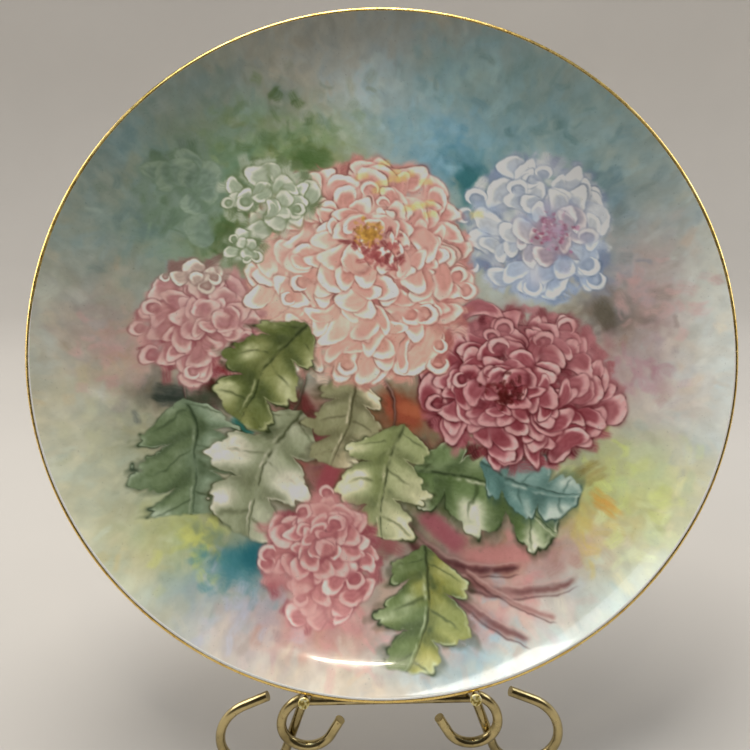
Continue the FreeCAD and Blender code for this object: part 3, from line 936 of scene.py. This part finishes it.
def brass_material(name, pale, deep, rough):
    """Polished drawn brass: light tarnish, fine scratches, dull specks and bright sawn peg ends."""
    material, shader, place = new_material(name)
    metal = mottled(material, place, (70.0, 6.0, 0.6), ((0.3, deep), (0.62, pale)))
    specks = mottled(material, place, (650.0, 2.0), ((0.26, (0.38, 0.3, 0.2)), (0.34, WHITE)))
    drawn = blended(material, 0.75, metal, specks, "MULTIPLY")
    sawn = mottled(material, place, (900.0, 3.0), PEG_END_TONES)
    end = add(material, "ShaderNodeMapRange")
    end.inputs["From Min"].default_value = PEG_REACH - SAWN_FROM
    end.inputs["From Max"].default_value = PEG_REACH - SAWN_TO
    link(material, plate_height(material, place), end.inputs["Value"])
    link(material, blended(material, end.outputs["Result"], drawn, sawn), shader.inputs["Base Color"])
    shader.inputs["Metallic"].default_value = 1.0
    tarnish = noise(material, place, 110.0, 5.0)
    smooth_part = ramp(material, tarnish, ((0.32, rough[1]), (0.62, rough[0])))
    link(material, blended(material, end.outputs["Result"], smooth_part, SAWN_ROUGHNESS),
         shader.inputs["Roughness"])
    scratches = noise(material, own_place(material, (1.0, 1.0, 0.12)), 2600.0, 2.0)
    bump(material, shader, ((tarnish, 0.12, 0.0003), (scratches, 0.1, 0.00003)))
    return material


# -------- plate

FACE_GRID = 741             # points along each side of the face's grid
LATHE_TURNS = 384
GILT_STEPS = 20
COLOUR_LIFT = 1.6           # from the painting's mixed tones to the strength of the fired glaze


def disc_places(count):
    """A square grid pressed evenly into a disc: each point's share of the radius, and its angle."""
    side = np.linspace(-1.0, 1.0, count)
    a, b = np.meshgrid(side, side)
    wide = np.abs(a) >= np.abs(b)
    share = np.where(wide, a, b)
    other = np.where(wide, b, a)
    turn = (math.pi / 4.0) * np.divide(other, share, out=np.zeros_like(other), where=share != 0.0)
    angle = np.where(wide, turn, math.pi / 2.0 - turn)
    return share.ravel(), angle.ravel()


def canvas_colours(colours, places, u, v):
    """The canvas's colours at places between its points."""
    step = places[1] - places[0]
    column, row = (u - places[0]) / step, (v - places[0]) / step
    left, low = column.astype(int), row.astype(int)
    right_share, high_share = (column - left)[:, None], (row - low)[:, None]
    below = colours[low, left] * (1.0 - right_share) + colours[low, left + 1] * right_share
    above = colours[low + 1, left] * (1.0 - right_share) + colours[low + 1, left + 1] * right_share
    return below * (1.0 - high_share) + above * high_share


def linear(colours):
    """Screen tones to light."""
    return np.where(colours <= 0.04045, colours / 12.92, ((colours + 0.055) / 1.055) ** 2.4)


def painted_face():
    """The glazed face as one fine skin, with the painting as a colour on each of its points."""
    section = face_section(0.0, 60, 60, 8)
    length = np.concatenate(([0.0], np.cumsum(np.linalg.norm(np.diff(section, axis=0), axis=1))))
    share, angle = disc_places(FACE_GRID)
    along = np.abs(share) * length[-1]
    r = np.interp(along, length, section[:, 0]) * np.sign(share)
    u, v = r * np.cos(angle), r * np.sin(angle)
    points = np.stack((u, v, np.interp(along, length, section[:, 1])), axis=1) * MM
    piece = quad_mesh("painted_face", points, grid_quads(FACE_GRID, FACE_GRID, False)[:, ::-1])
    colours, places = painting()
    light = np.clip(linear(canvas_colours(colours, places, u, v)) * COLOUR_LIFT, 0.0, 0.92)
    layer = piece.data.color_attributes.new(name="painting", type="FLOAT_COLOR", domain="POINT")
    layer.data.foreach_set("color", np.concatenate((light, np.ones((len(light), 1))), axis=1).ravel())
    return piece


GILT_HIGHLIGHT_TO = 178.0        # how far round the lip the painted highlight reaches over the gilding at the foot of the plate
HIGHLIGHT_MARGIN = 8.0           # how far beyond the gilding the painted highlight starts at the top of the plate, in degrees
HIGHLIGHT_FADE = 16.0            # how far round the lip the painted highlight fades out, in degrees


def gilt_edge():
    """The gold line over the lip, from just inside the face to the back, narrowed low on the plate by a
    painted highlight of white glaze colour over its inner part.
    """
    outside = sweep(LIP_CENTRE, LIP_RADIUS, GILT_FRONT, GILT_BACK, GILT_STEPS)
    inside = sweep(LIP_CENTRE, LIP_RADIUS - SKIN, GILT_BACK, GILT_FRONT, GILT_STEPS)
    piece = lathe("gilt_edge", np.concatenate((outside, inside, outside[:1])), LATHE_TURNS)
    places = np.empty(3 * len(piece.data.vertices))
    piece.data.vertices.foreach_get("co", places)
    x, y, n = places.reshape(-1, 3).T / MM
    round_lip = 180.0 + np.degrees(np.arctan2(LIP_CENTRE[0] - np.hypot(x, y), n - LIP_CENTRE[1]))
    round_plate = np.arctan2(y, x)
    # Painted highlight: the share of white glaze colour over the gold, reaching further round the lip low on
    # the plate.
    low = smooth(0.5 - 0.8 * np.sin(round_plate))
    waver = 3.0 * np.sin(7.0 * round_plate) + 2.0 * np.sin(17.0 * round_plate + 1.0)
    start = GILT_FRONT + HIGHLIGHT_MARGIN
    edge = start + (GILT_HIGHLIGHT_TO - start) * low + waver
    share = np.clip(0.5 + (round_lip - edge) / HIGHLIGHT_FADE, 0.0, 1.0)
    layer = piece.data.color_attributes.new(name="wear_and_painted_highlight", type="FLOAT_COLOR", domain="POINT")
    layer.data.foreach_set("color", np.stack((share, share, share, np.ones_like(share)), axis=1).ravel())
    return piece


def body_section():
    """The porcelain's section: under the glaze, round the lip, down the back, over the foot, to the axis."""
    foot_slope = math.degrees(math.asin(FOOT_OUTER_RADIUS / (FLOOR_CURVE + WALL_THICKNESS)))
    inner = FOOT_OUTER_RADIUS - FOOT_WIDTH
    return joined(
        face_section(SKIN, 30, 40, 6),
        sweep(LIP_CENTRE, LIP_RADIUS - SKIN, GILT_FRONT, GILT_BACK, 16),
        np.concatenate((
            sweep(LIP_CENTRE, LIP_RADIUS - SKIN, GILT_BACK, GILT_BACK, 0),
            sweep(LIP_CENTRE, LIP_RADIUS, GILT_BACK, RIM_SLOPE, 4),
        )),
        sweep(WALL_CENTRE, WALL_CURVE + WALL_THICKNESS, RIM_SLOPE, FLOOR_SLOPE, 40),
        sweep(FLOOR_CENTRE, FLOOR_CURVE + WALL_THICKNESS, FLOOR_SLOPE, foot_slope, 2),
        foot_corners(inner),
    )


def foot_corners(inner):
    """Down the foot's outside, across its rest and up inside, its corners rounded, then to the axis."""
    outer = FOOT_OUTER_RADIUS
    low, high = FOOT_N + FOOT_CHAMFER, UNDERSIDE - FOOT_CHAMFER
    return np.concatenate((
        [(outer, UNDERSIDE)],
        sweep((outer - FOOT_CHAMFER, low), FOOT_CHAMFER, 90.0, 0.0, 6),
        sweep((inner + FOOT_CHAMFER, low), FOOT_CHAMFER, 0.0, -90.0, 6),
        sweep((inner - FOOT_CHAMFER, high), FOOT_CHAMFER, 90.0, 180.0, 6),
        [(0.5 * inner, UNDERSIDE), (0.0, UNDERSIDE)],
    ))


def porcelain_body():
    return lathe("porcelain_body", body_section(), LATHE_TURNS)


def mark_foot(piece):
    """Faces on the foot's rest take the second material."""
    for face in piece.data.polygons:
        face.material_index = int(face.center.z < (FOOT_N + 0.35 * FOOT_CHAMFER) * MM)


def plate():
    axes = plate_axes()
    rows = (
        (painted_face(), "painted_glaze", "painted_glaze", (painted_glaze_material(),)),
        (gilt_edge(), "gold_rim", "gilding", (gilding_material(),)),
        (porcelain_body(), "plate_body", "white_porcelain", (porcelain_material(), bare_foot_material())),
    )
    for piece, node, slot, materials in rows:
        if node == "plate_body":
            mark_foot(piece)
        piece.data.transform(axes)
        settle(piece, "plate", node, slot, materials)


# -------- easel

POLISHED_BRASS = ((0.58, 0.475, 0.235), (0.23, 0.18, 0.08), (0.13, 0.3))     # pale, deep, roughness
HANDLED_BRASS = ((0.51, 0.395, 0.19), (0.23, 0.16, 0.07), (0.24, 0.45))
HANDLED_NODES = ("hinge_tube", "stop_tab", "prop_foot")


def easel():
    """The rods keep their nodes and take polished brass; turned and brazed parts are a little duller."""
    polished = brass_material("polished_brass", *POLISHED_BRASS)
    duller = brass_material("handled_brass", *HANDLED_BRASS)
    for body, nodes in frame["record"]["behaviour"]["bodies"].items():
        if body == "plate":
            continue
        for name in nodes:
            mesh = frame["nodes"][name].data
            mesh.materials.clear()
            mesh.materials.append(duller if name in HANDLED_NODES else polished)


# -------- surroundings


# Painted shade: the paper darkens between these places along Y, in metres, as the room does behind the
# viewer.
DIM_FROM, DIM_TO = -0.22, -0.65
PAPER_PALE = (0.56, 0.53, 0.49)
PAPER_PAINTED_SHADE = (0.07, 0.06, 0.05)


def plain_material(name, colour, painted_shade_colour, roughness, cells, depth):
    """A matt surface with a faint mottle, and painted shade that darkens it to another colour beyond the
    plate's front.
    """
    material, shader, place = new_material(name)
    darker = tuple(0.94 * channel for channel in colour)
    paper = mottled(material, place, (cells,), ((0.3, darker), (0.7, colour)))
    axes = add(material, "ShaderNodeSeparateXYZ")
    link(material, place, axes.inputs["Vector"])
    # Painted shade: towards the front the paper's colour turns to the dark one.
    ahead = add(material, "ShaderNodeMapRange")
    ahead.inputs["From Min"].default_value = DIM_FROM
    ahead.inputs["From Max"].default_value = DIM_TO
    link(material, axes.outputs["Y"], ahead.inputs["Value"])
    link(material, blended(material, ahead.outputs["Result"], paper, painted_shade_colour),
         shader.inputs["Base Color"])
    shader.inputs["Roughness"].default_value = roughness
    bump(material, shader, ((noise(material, place, 40.0 * cells), 0.1, depth),))
    return material


FLOOR_RADIUS = 1.1
COVE_RADIUS = 0.5
WALL_HEIGHT = 1.6
FLOOR_GAP = 0.0002          # between the floor and the feet


def surroundings():
    """A pale round floor that curves up into a plain wall on every side, painted darker in front of the
    plate as shade.
    """
    section = np.concatenate((
        [(0.0, 0.0), (0.25 * FLOOR_RADIUS, 0.0), (0.6 * FLOOR_RADIUS, 0.0)],
        sweep((FLOOR_RADIUS, COVE_RADIUS), COVE_RADIUS, 0.0, 90.0, 24),
        [(FLOOR_RADIUS + COVE_RADIUS, WALL_HEIGHT)],
    )) / MM
    bowl = lathe("backdrop", section, 96)
    bowl.data.flip_normals()
    bowl.data.materials.append(plain_material("floor_paper", PAPER_PALE, PAPER_PAINTED_SHADE, 0.7, 3.0, 0.0002))
    bowl.location.z = -FLOOR_GAP


def area_light(name, place, target, size, power, colour):
    """A soft rectangular lamp looking at a point."""
    lamp = bpy.data.lights.new(name, "AREA")
    lamp.shape = "RECTANGLE"
    lamp.size, lamp.size_y = size
    lamp.energy = power
    lamp.color = colour
    holder = bpy.data.objects.new(name, lamp)
    holder.location = place
    holder.rotation_euler = (Vector(target) - Vector(place)).to_track_quat("-Z", "Y").to_euler()
    bpy.context.scene.collection.objects.link(holder)


def lights(middle):
    area_light("ceiling", (-0.1, 0.12, 1.5), middle, (0.9, 0.6), 14.5, (1.0, 0.96, 0.9))
    area_light("left", (-1.25, 0.25, 0.8), middle, (0.9, 0.9), 9.0, (1.0, 0.97, 0.93))
    area_light("right", (1.25, 0.25, 0.85), middle, (0.9, 0.9), 7.0, (0.94, 0.97, 1.0))
    area_light("ceiling_tube", (0.07, -0.48, 1.25), middle, (0.10, 0.02), 0.5, (1.0, 0.9, 0.74))
    area_light("window", (-0.33, -0.25, 1.1), middle, (0.24, 0.24), 0.6, (0.8, 0.93, 1.0))
    world = bpy.data.worlds.new("room")
    world.use_nodes = True
    background = world.node_tree.nodes["Background"]
    background.inputs["Color"].default_value = (0.9, 0.94, 1.0, 1.0)
    background.inputs["Strength"].default_value = 0.3
    bpy.context.scene.world = world


# -------- camera

CAMERA_PLACE = (-0.0055, -0.2773, 0.2405)
CAMERA_YAW = 0.41           # degrees to the right of straight along +Y
CAMERA_PITCH = 17.11        # degrees below level
CAMERA_ROLL = 0.80          # degrees
CAMERA_LENS = 31.2


def camera():
    ahead = cos(CAMERA_PITCH)
    forward = Vector((sin(CAMERA_YAW) * ahead, cos(CAMERA_YAW) * ahead, -sin(CAMERA_PITCH)))
    level = Vector((cos(CAMERA_YAW), -sin(CAMERA_YAW), 0.0))
    down = forward.cross(level)
    right = cos(CAMERA_ROLL) * level + sin(CAMERA_ROLL) * down
    up = sin(CAMERA_ROLL) * level - cos(CAMERA_ROLL) * down
    data = bpy.data.cameras.new("camera")
    data.lens = CAMERA_LENS
    data.clip_start = 0.01
    holder = bpy.data.objects.new("camera", data)
    holder.matrix_world = Matrix([
        [right[row], up[row], -forward[row], CAMERA_PLACE[row]] for row in range(3)
    ] + [[0.0, 0.0, 0.0, 1.0]])
    bpy.context.scene.collection.objects.link(holder)
    bpy.context.scene.camera = holder


plate()
easel()
surroundings()
lights((cad_box[0] + cad_box[1]) / 2.0)
camera()
bpy.context.scene.view_settings.view_transform = "Standard"
